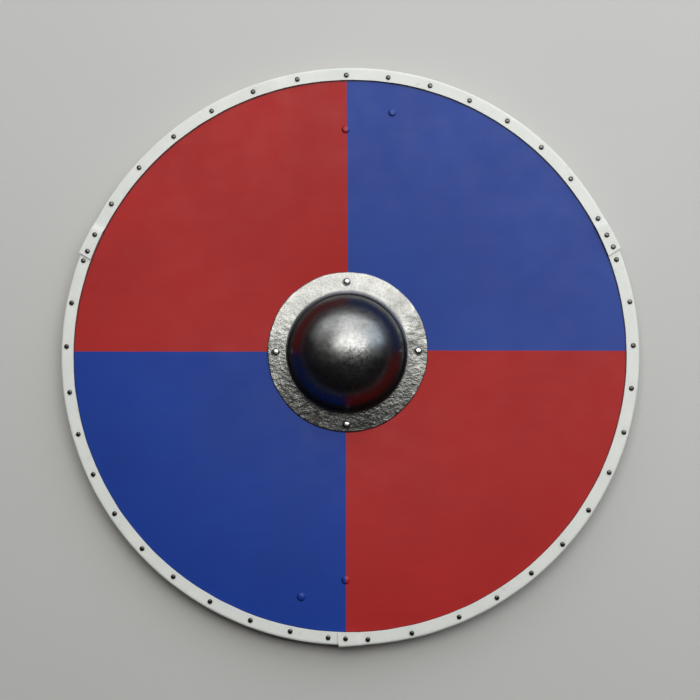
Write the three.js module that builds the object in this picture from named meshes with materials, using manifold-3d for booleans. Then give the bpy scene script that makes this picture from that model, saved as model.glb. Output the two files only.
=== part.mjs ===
// A round wooden shield, lying face up on the flat back of its grip bar.
// Millimetres, +Z up out of the painted face, +Y along the grip bar.
// The origin is on the surface it lies on, under the middle of the board.
import * as THREE from "three";
import { mergeVertices } from "three/addons/utils/BufferGeometryUtils.js";
import Module from "manifold-3d";

const wasm = await Module();
wasm.setup();

// Driving dimensions.
const shieldRadius = 366;
const boardThickness = 9;
const boardSides = 60;
const handHoleRadius = 69;
const fitGap = 0.3;

const rawhideThickness = 2.25;
const rawhideWidth = 16.5;
const rawhideCorner = 2.2;
const lipSlope = 0.6;

const bossFlangeRadius = 101.5;
const bossEdgeChamfer = 0.7;
const bossSheet = 2;
const bossDomeRadius = 73;
const bossBendRadius = 5;
const bossSides = 40;
const bossDomeSteps = 6;

const barThickness = 20;
const barEndThickness = 12;
const barHalfLength = 300;
const barWidth = 40;
const gripWidth = 33;
const gripHalfLength = 60;
const waistEnd = 100;
const gripFrontChamfer = 7;
const barFrontChamfer = 1.5;
const barBackChamfer = 3;
const taperStart = 120;
const taperEnd = 260;
const barEndRound = 6;
const barShift = -2;

const rivetSides = 8;
const rivetShankRadius = 2.5;
const rivetTailHeight = 1.7;
const roveThickness = 1.2;
const rivetKinds = {
  bossAndBoard: { headRadius: 4.8, headHeight: 2.4, tailRadius: 4.5, roveRadius: 7 },
  bossAndBar: { headRadius: 4.8, headHeight: 2.4, tailRadius: 5, roveRadius: 0 },
  boardAndBar: { headRadius: 5.2, headHeight: 1.6, tailRadius: 4.6, roveRadius: 0 },
  boardAlone: { headRadius: 5.2, headHeight: 1.6, tailRadius: 4.5, roveRadius: 8 },
};

const tackHeadRadius = 3.2;
const tackHeadHeight = 1.4;
const tackShankHalf = 0.9;
const tackTail = 1;

// Heights above the surface the shield lies on.
const boardBack = barThickness;
const boardFront = boardBack + boardThickness;
const flangeTop = boardFront + bossSheet;
const barEndBack = barThickness - barEndThickness;

// Where the rawhide strips meet, in degrees anticlockwise from +X. The upper strip's outer corner is at
// "end", its lip runs on by "skew", the strip under it ends at "underEnd", and at "flatAgain" the upper
// one lies on the board once more.
const rightJoint = { end: 20.6, skew: -0.7, underEnd: 26, flatAgain: 27.2 };
const leftJoint = { end: 159.5, skew: 0.6, underEnd: 154, flatAgain: 152.8 };
const bottomJoint = { end: 268.4, skew: -0.35, underEnd: 271.9, flatAgain: 273.1 };
const squareEnd = 0;
const fullTurn = 360;

// Runs of evenly spaced tacks, in degrees, each on its own circle. They were driven by hand, so the spacing
// and the distance from the edge change from run to run.
const tackRuns = [
  { from: 21.3, to: 21.3, count: 1, circle: 359 },
  { from: 24, to: 27.8, count: 2, circle: 357.7 },
  { from: 37.6, to: 55.2, count: 3, circle: 357.3 },
  { from: 64, to: 72.7, count: 2, circle: 356.4 },
  { from: 81.5, to: 90.2, count: 2, circle: 355.6 },
  { from: 100.4, to: 128.8, count: 4, circle: 356.7 },
  { from: 138.4, to: 147.8, count: 2, circle: 358.3 },
  { from: 155, to: 158.7, count: 2, circle: 357.1 },
  { from: 160.8, to: 178.8, count: 3, circle: 358.3 },
  { from: 188.2, to: 205.7, count: 3, circle: 356.7 },
  { from: 214.8, to: 223.8, count: 2, circle: 357.3 },
  { from: 232.3, to: 250.2, count: 3, circle: 356.5 },
  { from: 258.5, to: 258.5, count: 1, circle: 355.8 },
  { from: 266.2, to: 269.7, count: 2, circle: 357 },
  { from: 274.1, to: 282.9, count: 2, circle: 358.9 },
  { from: 292.8, to: 309.6, count: 3, circle: 357.7 },
  { from: 318, to: 343.5, count: 4, circle: 359 },
  { from: 352.4, to: 361, count: 2, circle: 357.7 },
  { from: 369.8, to: 369.8, count: 1, circle: 359.6 },
  { from: 378.7, to: 378.7, count: 1, circle: 357.5 },
];

const paint = new THREE.MeshStandardMaterial({ color: 0xa03533, roughness: 0.5, metalness: 0 });
const rawhide = new THREE.MeshStandardMaterial({ color: 0xe6e2d8, roughness: 0.6, metalness: 0 });
const steel = new THREE.MeshStandardMaterial({ color: 0x8c8e90, roughness: 0.3, metalness: 1 });
const brightSteel = new THREE.MeshStandardMaterial({ color: 0xc4c6c8, roughness: 0.35, metalness: 1 });
const blackIron = new THREE.MeshStandardMaterial({ color: 0x1c1b1b, roughness: 0.55, metalness: 0.6 });
const bareWood = new THREE.MeshStandardMaterial({ color: 0xb98d5c, roughness: 0.65, metalness: 0 });

// Booleans.

function solidFrom(geometry) {
  const bare = geometry.clone();
  bare.deleteAttribute("normal");
  bare.deleteAttribute("uv");
  const merged = mergeVertices(bare, 1e-4);
  const corners = Array.from(merged.index.array);
  const kept = [];
  for (let i = 0; i < corners.length; i += 3) {
    const [a, b, c] = corners.slice(i, i + 3);
    if (a !== b && b !== c && c !== a) kept.push(a, b, c);
  }
  const mesh = new wasm.Mesh({
    numProp: 3,
    vertProperties: merged.attributes.position.array,
    triVerts: Uint32Array.from(kept),
  });
  return new wasm.Manifold(mesh);
}

function geometryFrom(solid) {
  const mesh = solid.getMesh();
  const geometry = new THREE.BufferGeometry();
  geometry.setAttribute("position", new THREE.BufferAttribute(mesh.vertProperties, 3));
  geometry.setIndex(new THREE.BufferAttribute(mesh.triVerts, 1));
  return geometry;
}

function joined(solids) {
  return solids.reduce((whole, solid) => whole.add(solid));
}

// Shapes.

// Turns a profile of [radius, height] points about the Z axis.
function turned(profile, sides) {
  const points = profile.map(([radius, height]) => new THREE.Vector2(radius, height));
  const geometry = new THREE.LatheGeometry(points, sides);
  geometry.rotateX(Math.PI / 2);
  return geometry;
}

// Joins a row of anticlockwise outlines that have the same number of points, and closes both ends.
function lofted(outlines, capOutline) {
  const size = outlines[0].length;
  const faces = [];
  for (let ring = 0; ring < outlines.length - 1; ring += 1) {
    for (let i = 0; i < size; i += 1) {
      const a = ring * size + i;
      const b = ring * size + ((i + 1) % size);
      faces.push(a, a + size, b, b, a + size, b + size);
    }
  }
  const last = (outlines.length - 1) * size;
  for (const [a, b, c] of THREE.ShapeUtils.triangulateShape(capOutline, [])) {
    faces.push(a, b, c, last + a, last + c, last + b);
  }
  const geometry = new THREE.BufferGeometry();
  const positions = outlines.flat().flatMap((point) => point.toArray());
  geometry.setAttribute("position", new THREE.Float32BufferAttribute(positions, 3));
  geometry.setIndex(faces);
  return geometry;
}

function onCircle(radius, degrees) {
  const angle = THREE.MathUtils.degToRad(degrees);
  return [radius * Math.cos(angle), radius * Math.sin(angle)];
}

// A round drill or punch from one height to another.
function drill(radius, x, y, low, high) {
  const geometry = turned([[0, low], [radius, low], [radius, high], [0, high]], rivetSides);
  geometry.translate(x, y, 0);
  return solidFrom(geometry);
}

// Tacks: each has an angle and the number of rawhide layers under its head.

function liesOverJoint(degrees, joint) {
  const low = Math.min(joint.end, joint.underEnd);
  const high = Math.max(joint.end, joint.underEnd);
  return degrees > low && degrees < high;
}

const joints = [rightJoint, leftJoint, bottomJoint];
const tacks = tackRuns.flatMap(({ from, to, count, circle }) => {
  const step = count > 1 ? (to - from) / (count - 1) : 0;
  return Array.from({ length: count }, (_, i) => {
    const degrees = from + i * step;
    const layers = joints.some((joint) => liesOverJoint(degrees, joint)) ? 2 : 1;
    const [x, y] = onCircle(circle, degrees);
    return { degrees, layers, x, y };
  });
});

function tackHoles() {
  const side = 2 * (tackShankHalf + fitGap);
  const length = boardFront + 6 * rawhideThickness;
  const holes = tacks.map(({ degrees, x, y }) => {
    const geometry = new THREE.BoxGeometry(side, side, length);
    geometry.rotateZ(THREE.MathUtils.degToRad(degrees));
    geometry.translate(x, y, boardBack);
    return solidFrom(geometry);
  });
  return joined(holes);
}

function tackGeometry(layers) {
  const head = turned(
    [[0, 0], [tackHeadRadius, 0], [tackHeadRadius * 0.62, tackHeadHeight * 0.78], [0, tackHeadHeight]],
    6,
  );
  const shankLength = boardThickness + 2 * layers * rawhideThickness + tackTail;
  const rootDepth = tackHeadHeight / 2;
  const shank = new THREE.BoxGeometry(2 * tackShankHalf, 2 * tackShankHalf, shankLength + rootDepth);
  shank.translate(0, 0, (rootDepth - shankLength) / 2);
  return geometryFrom(solidFrom(head).add(solidFrom(shank)));
}

// Rawhide strips.

// The U section, in [radius, height] points. lift goes from 0 on the board to 1 over another strip.
function rawhideSection(lift) {
  const outward = lift * (rawhideThickness + fitGap);
  const layer = lift * rawhideThickness;
  const outer = shieldRadius + outward;
  const wall = outer - rawhideThickness;
  const lip = outer - rawhideWidth;
  const under = boardFront + layer;
  const top = under + rawhideThickness;
  const over = boardBack - layer;
  const bottom = over - rawhideThickness;
  return [
    [lip, under],
    [wall, under],
    [wall, over],
    [lip, over],
    [lip + lipSlope, bottom],
    [outer - rawhideCorner, bottom],
    [outer, bottom + rawhideCorner],
    [outer, top - rawhideCorner],
    [outer - rawhideCorner, top],
    [lip + lipSlope, top],
  ];
}

// Every angle at which a strip has a section: round the circle, and where strips end or rise.
const sectionAngles = [];
for (let degrees = 0; degrees <= 2 * fullTurn; degrees += fullTurn / boardSides) {
  sectionAngles.push(degrees);
}
for (const joint of joints) {
  for (const degrees of [joint.end, joint.underEnd, joint.flatAgain]) {
    sectionAngles.push(degrees, degrees + fullTurn);
  }
}
sectionAngles.sort((a, b) => a - b);

// A strip has two ends, each with its angle, its skew, and the angle at which the strip is flat on the
// board. It is lifted between an end and that angle.
function rawhideStrip(start, end, holes) {
  const angles = sectionAngles.filter((degrees) => degrees >= start.at && degrees <= end.at);
  const outlines = angles.map((degrees) => {
    const lift = degrees < start.flat || degrees > end.flat ? 1 : 0;
    const section = rawhideSection(lift);
    const outer = Math.max(...section.map(([radius]) => radius));
    let skew = 0;
    if (degrees === start.at) skew = start.skew;
    if (degrees === end.at) skew = end.skew;
    return section.map(([radius, height]) => {
      const inward = (outer - radius) / rawhideWidth;
      const [x, y] = onCircle(radius, degrees + skew * inward);
      return new THREE.Vector3(x, y, height);
    });
  });
  const cap = rawhideSection(0).map(([radius, height]) => new THREE.Vector2(radius, height));
  return geometryFrom(solidFrom(lofted(outlines, cap)).subtract(holes));
}

// Board.

const barRivetDistance = 285.5;
const sideRivet = { x: 57.5, y: 306.5 };
const bossRivets = [
  { name: "boss-rivet-right", x: 89.5, y: 0.3, throughBar: false },
  { name: "boss-rivet-top", x: -0.4, y: 88.5, throughBar: true },
  { name: "boss-rivet-left", x: -90.2, y: -0.3, throughBar: false },
  { name: "boss-rivet-bottom", x: -0.9, y: -91.7, throughBar: true },
];
const barRivets = [
  { name: "bar-rivet-top", x: barShift, y: barRivetDistance },
  { name: "bar-rivet-bottom", x: barShift, y: -barRivetDistance },
];
const sideRivets = [
  { name: "side-rivet-top", x: sideRivet.x, y: sideRivet.y },
  { name: "side-rivet-bottom", x: -sideRivet.x, y: -sideRivet.y },
];
const rivetHoleRadius = rivetShankRadius + fitGap + 0.1;

function boardGeometry(holes) {
  const outer = shieldRadius - rawhideThickness - fitGap;
  const ring = turned(
    [
      [handHoleRadius, boardBack],
      [outer, boardBack],
      [outer, boardFront],
      [handHoleRadius, boardFront],
      [handHoleRadius, boardBack],
    ],
    boardSides,
  );
  const rivetHoles = [...bossRivets, ...barRivets, ...sideRivets].map(({ x, y }) =>
    drill(rivetHoleRadius, x, y, boardBack - 1, boardFront + 1),
  );
  return geometryFrom(solidFrom(ring).subtract(holes).subtract(joined(rivetHoles)));
}

// Boss: one sheet of steel, a dome that bends out into a flat flange.

function bossGeometry() {
  const bendHeight = flangeTop + bossBendRadius;
  const bendCentre = Math.sqrt((bossDomeRadius + bossBendRadius) ** 2 - bossBendRadius ** 2);
  const tangent = Math.asin(bossBendRadius / (bossDomeRadius + bossBendRadius));
  const bendTurn = Math.PI / 2 - tangent;

  const surface = (domeRadius, bendRadius) => {
    const points = [];
    for (let i = 0; i < bossDomeSteps; i += 1) {
      const angle = Math.PI / 2 - (i * (Math.PI / 2 - tangent)) / bossDomeSteps;
      const radius = i === 0 ? 0 : domeRadius * Math.cos(angle);
      points.push([radius, flangeTop + domeRadius * Math.sin(angle)]);
    }
    for (const share of [1, 0.5, 0]) {
      const angle = -Math.PI / 2 - share * bendTurn;
      const height = bendHeight + bendRadius * Math.sin(angle);
      points.push([bendCentre + bendRadius * Math.cos(angle), height]);
    }
    return points;
  };

  const outside = surface(bossDomeRadius, bossBendRadius);
  const inside = surface(bossDomeRadius - bossSheet, bossBendRadius + bossSheet);
  const edge = [
    [bossFlangeRadius - bossEdgeChamfer, flangeTop],
    [bossFlangeRadius, flangeTop - bossEdgeChamfer],
    [bossFlangeRadius, boardFront],
  ];
  const profile = [...outside, ...edge, ...inside.reverse()].reverse();
  const holes = bossRivets.map(({ x, y }) =>
    drill(rivetHoleRadius, x, y, boardFront - 1, flangeTop + 1),
  );
  return geometryFrom(solidFrom(turned(profile, bossSides)).subtract(joined(holes)));
}

// Grip bar: flat on the back, waisted and rounded where the hand goes, thinner at its ends.

const tailRecessDepth = 3;
const tailRecessRadius = 6.5;

function barOutline(distance) {
  const reach = Math.abs(distance);
  const smooth = (from, to) => THREE.MathUtils.smoothstep(reach, from, to);
  const endShare = smooth(barHalfLength - barEndRound, barHalfLength);
  const width = THREE.MathUtils.lerp(gripWidth, barWidth, smooth(gripHalfLength, waistEnd));
  const half = width / 2 - 4 * endShare;
  const chamferShare = smooth(gripHalfLength - 8, gripHalfLength + 8);
  const frontChamfer = THREE.MathUtils.lerp(gripFrontChamfer, barFrontChamfer, chamferShare);
  const taperShare = THREE.MathUtils.clamp((reach - taperStart) / (taperEnd - taperStart), 0, 1);
  const back = barEndBack * taperShare + 1.5 * endShare;
  return [
    [-half, back + barBackChamfer],
    [-half + barBackChamfer, back],
    [half - barBackChamfer, back],
    [half, back + barBackChamfer],
    [half, boardBack - frontChamfer],
    [half - frontChamfer, boardBack],
    [-half + frontChamfer, boardBack],
    [-half, boardBack - frontChamfer],
  ];
}

function barGeometry() {
  const waistMiddle = (gripHalfLength + waistEnd) / 2;
  const halfStations = [
    gripHalfLength / 2,
    gripHalfLength - 8,
    gripHalfLength,
    gripHalfLength + 8,
    waistMiddle,
    waistEnd,
    taperStart,
    taperEnd,
    barHalfLength - barEndRound,
    barHalfLength,
  ];
  const stations = [...halfStations.map((distance) => -distance).reverse(), ...halfStations];
  const outlines = stations.map((y) =>
    barOutline(y).map(([x, z]) => new THREE.Vector3(x + barShift, y, z)),
  );
  const cap = barOutline(barHalfLength).map(([x, z]) => new THREE.Vector2(x, z));
  const cuts = [];
  for (const { x, y, throughBar } of bossRivets) {
    if (throughBar) {
      cuts.push(drill(rivetHoleRadius, x, y, -1, boardBack + 1));
      cuts.push(drill(tailRecessRadius, x, y, -1, tailRecessDepth));
    }
  }
  for (const { x, y } of barRivets) {
    cuts.push(drill(rivetHoleRadius, x, y, -1, boardBack + 1));
  }
  return geometryFrom(solidFrom(lofted(outlines, cap)).subtract(joined(cuts)));
}

// Rivets: a domed head, a shank as long as what it holds, and a hammered tail, with or without a rove.

function rivetGeometry({ headRadius, headHeight, tailRadius, roveRadius }, grip) {
  const tailSeat = roveRadius > 0 ? -grip - roveThickness : -grip;
  const rove = roveRadius > 0 ? [[roveRadius, -grip], [roveRadius, tailSeat]] : [];
  const profile = [
    [0, headHeight],
    [headRadius * 0.6, headHeight * 0.8],
    [headRadius, 0],
    [rivetShankRadius, 0],
    [rivetShankRadius, -grip],
    ...rove,
    [tailRadius, tailSeat],
    [tailRadius * 0.6, tailSeat - rivetTailHeight * 0.8],
    [0, tailSeat - rivetTailHeight],
  ].reverse();
  return geometryFrom(solidFrom(turned(profile, rivetSides)));
}

// The shield.

const shield = new THREE.Group();

function place(name, geometry, material, x = 0, y = 0, z = 0, turn = 0) {
  const mesh = new THREE.Mesh(geometry, material);
  mesh.name = name;
  mesh.position.set(x, y, z);
  mesh.rotation.z = turn;
  shield.add(mesh);
}

const holes = tackHoles();
const topStrip = rawhideStrip(
  { at: rightJoint.end, skew: rightJoint.skew, flat: rightJoint.flatAgain },
  { at: leftJoint.end, skew: leftJoint.skew, flat: leftJoint.flatAgain },
  holes,
);
const leftStrip = rawhideStrip(
  { at: leftJoint.underEnd, skew: squareEnd, flat: leftJoint.underEnd },
  { at: bottomJoint.underEnd, skew: squareEnd, flat: bottomJoint.underEnd },
  holes,
);
const rightStrip = rawhideStrip(
  { at: bottomJoint.end, skew: bottomJoint.skew, flat: bottomJoint.flatAgain },
  { at: rightJoint.underEnd + fullTurn, skew: squareEnd, flat: rightJoint.underEnd + fullTurn },
  holes,
);

place("board", boardGeometry(holes), paint);
place("rim-top", topStrip, rawhide);
place("rim-left", leftStrip, rawhide);
place("rim-right", rightStrip, rawhide);
place("boss", bossGeometry(), steel);
place("grip-bar", barGeometry(), bareWood);

for (const { name, x, y, throughBar } of bossRivets) {
  const geometry = throughBar
    ? rivetGeometry(rivetKinds.bossAndBar, flangeTop - tailRecessDepth)
    : rivetGeometry(rivetKinds.bossAndBoard, bossSheet + boardThickness);
  place(name, geometry, brightSteel, x, y, flangeTop);
}
const barRivet = rivetGeometry(rivetKinds.boardAndBar, boardThickness + barEndThickness);
for (const { name, x, y } of barRivets) {
  place(name, barRivet, paint, x, y, boardFront);
}
const sideRivetShape = rivetGeometry(rivetKinds.boardAlone, boardThickness);
for (const { name, x, y } of sideRivets) {
  place(name, sideRivetShape, paint, x, y, boardFront);
}

const shortTack = tackGeometry(1);
const longTack = tackGeometry(2);
tacks.forEach(({ degrees, layers, x, y }, i) => {
  const seat = boardFront + layers * rawhideThickness;
  const name = `tack-${String(i + 1).padStart(2, "0")}`;
  const turn = THREE.MathUtils.degToRad(degrees);
  place(name, layers === 1 ? shortTack : longTack, blackIron, x, y, seat, turn);
});

export default shield;
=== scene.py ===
# A round wooden shield, face up on its grip bar: quartered paint, steel boss, tacked rawhide edge.
import math
import random

import bmesh
import bpy
from mathutils import Matrix, Vector


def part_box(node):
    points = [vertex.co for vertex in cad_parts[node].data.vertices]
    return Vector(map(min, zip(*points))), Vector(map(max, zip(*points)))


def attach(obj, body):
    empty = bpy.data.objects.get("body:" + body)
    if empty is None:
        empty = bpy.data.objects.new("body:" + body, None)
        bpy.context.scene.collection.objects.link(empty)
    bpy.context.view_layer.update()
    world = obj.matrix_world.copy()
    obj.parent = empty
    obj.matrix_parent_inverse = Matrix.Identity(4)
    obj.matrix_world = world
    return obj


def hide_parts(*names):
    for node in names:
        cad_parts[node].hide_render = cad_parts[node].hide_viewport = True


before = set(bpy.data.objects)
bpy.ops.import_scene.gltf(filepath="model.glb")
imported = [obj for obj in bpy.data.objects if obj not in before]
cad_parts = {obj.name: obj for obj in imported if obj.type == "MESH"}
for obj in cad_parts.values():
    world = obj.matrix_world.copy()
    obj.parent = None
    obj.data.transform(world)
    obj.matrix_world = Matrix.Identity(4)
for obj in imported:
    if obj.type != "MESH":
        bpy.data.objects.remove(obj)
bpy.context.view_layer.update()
print("frame loaded")

mm = 0.001
hair = 0.01 * mm  # what lies closer than this lies on the same line or plane
near = 0.1 * mm  # what lies closer than this to an edge belongs to it
noiseSpan = (0.3, 0.7)  # most of a noise lies between these


# What the frame says about a node.

def nodePoints(node):
    return [v.co.copy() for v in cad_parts[node].data.vertices]


def nodeMiddle(node):
    low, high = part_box(node)
    return (low + high) / 2


def tackPlace(node):
    # the top of its head
    middle = nodeMiddle(node)
    return Vector((middle.x, middle.y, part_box(node)[1].z))


def reach(point):
    return math.hypot(point.x, point.y)


def bearing(point):
    return math.degrees(math.atan2(point.y, point.x)) % 360


def unwrapped(degrees, around):
    # the same bearing, within half a turn of another one
    return around + (degrees - around + 180) % 360 - 180


boardLow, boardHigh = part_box("board")
boardBack, boardFront = boardLow.z, boardHigh.z
boardMiddle = (boardFront + boardBack) / 2
boardRadius = max(reach(p) for p in nodePoints("board"))
handHole = min(reach(p) for p in nodePoints("board"))
bossLow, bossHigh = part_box("boss")
flangeRadius = bossHigh.x
tackNodes = sorted(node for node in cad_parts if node.startswith("tack-"))
paintedRivets = ("side-rivet-top", "side-rivet-bottom", "bar-rivet-top", "bar-rivet-bottom")
bossRivets = tuple("boss-rivet-" + side for side in ("top", "bottom", "left", "right"))


# Small helpers for modelling.

def leaveAll():
    # nothing selected, object mode
    if bpy.context.object and bpy.context.object.mode != "OBJECT":
        bpy.ops.object.mode_set(mode="OBJECT")
    bpy.ops.object.select_all(action="DESELECT")


def chooseOnly(piece):
    leaveAll()
    piece.select_set(True)
    bpy.context.view_layer.objects.active = piece


def nameIt(name):
    piece = bpy.context.object
    piece.name = name
    piece.data.name = name
    return piece


def settle():
    # place, turn and size go into the mesh
    bpy.ops.object.transform_apply(location=True, rotation=True, scale=True)


def edit():
    bpy.ops.object.mode_set(mode="EDIT")


def done():
    bpy.ops.object.mode_set(mode="OBJECT")


def pick(kind, wanted):
    # selects what passes the test and nothing else, and says how many
    bpy.ops.mesh.select_mode(type=kind)
    bpy.ops.mesh.select_all(action="DESELECT")
    data = bpy.context.object.data
    mesh = bmesh.from_edit_mesh(data)
    items = {"VERT": mesh.verts, "EDGE": mesh.edges, "FACE": mesh.faces}[kind]
    count = 0
    for item in items:
        if wanted(item):
            item.select_set(True)
            count += 1
    mesh.select_flush_mode()
    bmesh.update_edit_mesh(data)
    return count


def pickAll():
    bpy.ops.mesh.select_all(action="SELECT")


def somewhereIn(i, step, rng):
    # a random place in the middle part of the step with this number
    return (i + rng.uniform(0.2, 0.8)) * step


def softly(size):
    # proportional editing, for a move or a resize that fades out over this distance
    return {
        "use_proportional_edit": True,
        "proportional_edit_falloff": "SMOOTH",
        "proportional_size": size,
    }


def widen(share, about, **settings):
    # sideways only, so that heights stay
    bpy.ops.transform.resize(value=(share, share, 1), center_override=about, **settings)


def tidyNormals():
    pickAll()
    bpy.ops.mesh.normals_make_consistent(inside=False)


def groupPicked(name):
    # the picked points become a vertex group
    bpy.ops.object.vertex_group_add()
    bpy.context.object.vertex_groups.active.name = name
    bpy.ops.object.vertex_group_assign()


def giveSecondFinish(material, wanted):
    # the faces that pass the test get it, and the others keep the first one
    piece = bpy.context.object
    piece.data.materials.append(material)
    edit()
    pick("FACE", wanted)
    piece.active_material_index = 1
    bpy.ops.object.material_slot_assign()
    done()


def applyNew(kind, **settings):
    piece = bpy.context.object
    modifier = piece.modifiers.new(kind.title(), kind)
    for key, value in settings.items():
        setattr(modifier, key, value)
    bpy.ops.object.modifier_apply(modifier=modifier.name)


def roundEdges(width):
    angle = math.radians(50)
    applyNew("BEVEL", width=width, segments=2, limit_method="ANGLE", angle_limit=angle)


def pressIn(texture, depth, **settings):
    # the surface goes in by up to this depth
    look = {"texture": texture, "texture_coords": "LOCAL", "mid_level": 1.0}
    applyNew("DISPLACE", strength=depth, **look, **settings)


def combine(piece, other, operation):
    # the other one is joined to the piece or cut out of it, and is then gone
    chooseOnly(piece)
    applyNew("BOOLEAN", object=other, operation=operation, solver="EXACT")
    chooseOnly(other)
    bpy.ops.object.delete()


def cloudy(name, size, depth=2):
    texture = bpy.data.textures.new(name, "CLOUDS")
    texture.noise_scale = size
    texture.noise_depth = depth
    return texture


def cells(name, size):
    texture = bpy.data.textures.new(name, "VORONOI")
    texture.noise_scale = size
    return texture


def smoothBy(degrees):
    bpy.ops.object.shade_smooth_by_angle(angle=math.radians(degrees))


def addBlock(low, high):
    low, high = Vector(low), Vector(high)
    leaveAll()
    bpy.ops.mesh.primitive_cube_add(size=1, location=(low + high) / 2)
    bpy.context.object.scale = high - low
    settle()


def extrudeRings(rings, x=0, y=0):
    # a ring is (radius, height); the first is there and picked, and the others are drawn from it
    for (radius, height), (nextRadius, nextHeight) in zip(rings, rings[1:]):
        share = nextRadius / radius
        bpy.ops.mesh.extrude_region()
        bpy.ops.transform.translate(value=(0, 0, nextHeight - height))
        widen(share, (x, y, nextHeight))


def stackRings(sides, rings, x, y):
    # a round solid from its lowest ring up
    radius, height = rings[0]
    leaveAll()
    bpy.ops.mesh.primitive_circle_add(
        vertices=sides, radius=radius, fill_type="NGON", location=(x, y, height)
    )
    settle()
    edit()
    pickAll()
    extrudeRings(rings, x, y)
    tidyNormals()
    done()


def handOver(piece, node):
    chooseOnly(piece)
    if piece.vertex_groups:
        bpy.ops.object.vertex_group_remove(all=True)
    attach(piece, "root")
    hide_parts(node)


# Helpers for materials, which they call m: small chains of nodes on Object coordinates.

def newFinish(name):
    m = bpy.data.materials.new(name)
    m.use_nodes = True
    return m


def feed(m, socket, value):
    if isinstance(value, bpy.types.NodeSocket):
        m.node_tree.links.new(value, socket)
    else:
        socket.default_value = value


def addNode(m, kind, inputs, **settings):
    node = m.node_tree.nodes.new(kind)
    for key, value in settings.items():
        setattr(node, key, value)
    for key, value in inputs.items():
        feed(m, node.inputs[key], value)
    return node


def place(m):
    return addNode(m, "ShaderNodeTexCoord", {}).outputs["Object"]


def axes(m):
    # x and y
    return addNode(m, "ShaderNodeSeparateXYZ", {"Vector": place(m)}).outputs[:2]


def calc(m, operation, a, b=0.0, c=0.0):
    return addNode(m, "ShaderNodeMath", {0: a, 1: b, 2: c}, operation=operation).outputs[0]


def times(m, a, b):
    return calc(m, "MULTIPLY", a, b)


def plus(m, a, b):
    return calc(m, "ADD", a, b)


def minus(m, a, b):
    return calc(m, "SUBTRACT", a, b)


def timesPlus(m, a, b, c):
    return calc(m, "MULTIPLY_ADD", a, b, c)


def remap(m, value, low, high, toLow=0.0, toHigh=1.0):
    # a value from low to high becomes one from toLow to toHigh, and stays between them
    inputs = {"Value": value, "From Min": low, "From Max": high, "To Min": toLow, "To Max": toHigh}
    return addNode(m, "ShaderNodeMapRange", inputs, clamp=True).outputs[0]


def mixColour(m, share, a, b):
    return addNode(m, "ShaderNodeMix", {0: share, 6: a, 7: b}, data_type="RGBA").outputs[2]


def mixValue(m, share, a, b):
    return addNode(m, "ShaderNodeMix", {0: share, 2: a, 3: b}, data_type="FLOAT").outputs[0]


def shadeBy(m, colour, value):
    # the colour times a grey
    grey = addNode(m, "ShaderNodeCombineColor", {0: value, 1: value, 2: value}).outputs[0]
    inputs = {0: 1.0, 6: colour, 7: grey}
    return addNode(m, "ShaderNodeMix", inputs, data_type="RGBA", blend_type="MULTIPLY").outputs[2]


def noiseAt(m, spot, scale, detail, roughness=0.5):
    inputs = {"Vector": spot, "Scale": scale, "Detail": detail, "Roughness": roughness}
    return addNode(m, "ShaderNodeTexNoise", inputs).outputs["Fac"]


def noise(m, scale, detail, roughness=0.5, stretch=(1, 1, 1)):
    inputs = {"Vector": place(m), "Scale": stretch}
    spot = addNode(m, "ShaderNodeMapping", inputs).outputs[0]
    return noiseAt(m, spot, scale, detail, roughness)


def relief(m, height, depth, strength, under=None):
    inputs = {"Height": height, "Distance": depth, "Strength": strength}
    if under is not None:
        inputs["Normal"] = under
    return addNode(m, "ShaderNodeBump", inputs).outputs[0]


def radiusOf(m):
    x, y = axes(m)
    return calc(m, "SQRT", timesPlus(m, x, x, times(m, y, y)))


def distanceTo(m, spot):
    inputs = {0: place(m), 1: spot}
    return addNode(m, "ShaderNodeVectorMath", inputs, operation="DISTANCE").outputs["Value"]


def awayFrom(m, nodes, slip, height):
    # how far it is to the nearest of these nodes, whose places are shifted by slip
    nearest = 1.0
    for node in nodes:
        middle = nodeMiddle(node)
        spot = (middle.x + slip[0], middle.y + slip[1], height)
        nearest = calc(m, "MINIMUM", distanceTo(m, spot), nearest)
    return nearest


def shaderTakes(m, **inputs):
    # a constant goes straight on the shader's own socket
    shader = m.node_tree.nodes["Principled BSDF"]
    for key, value in inputs.items():
        feed(m, shader.inputs[key.replace("_", " ")], value)
    return m


def tint(red, green, blue):
    # a display colour, 0 to 255, as the linear colour the shader takes
    def linear(value):
        value /= 255
        return value / 12.92 if value <= 0.04045 else ((value + 0.055) / 1.055) ** 2.4

    return (linear(red), linear(green), linear(blue), 1.0)


# Finishes. A noise is (scale, detail, roughness, stretch), and a relief is (depth, strength).
# A range is (from, to, what from becomes, what to becomes), the last two 0 and 1 if not given.

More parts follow.
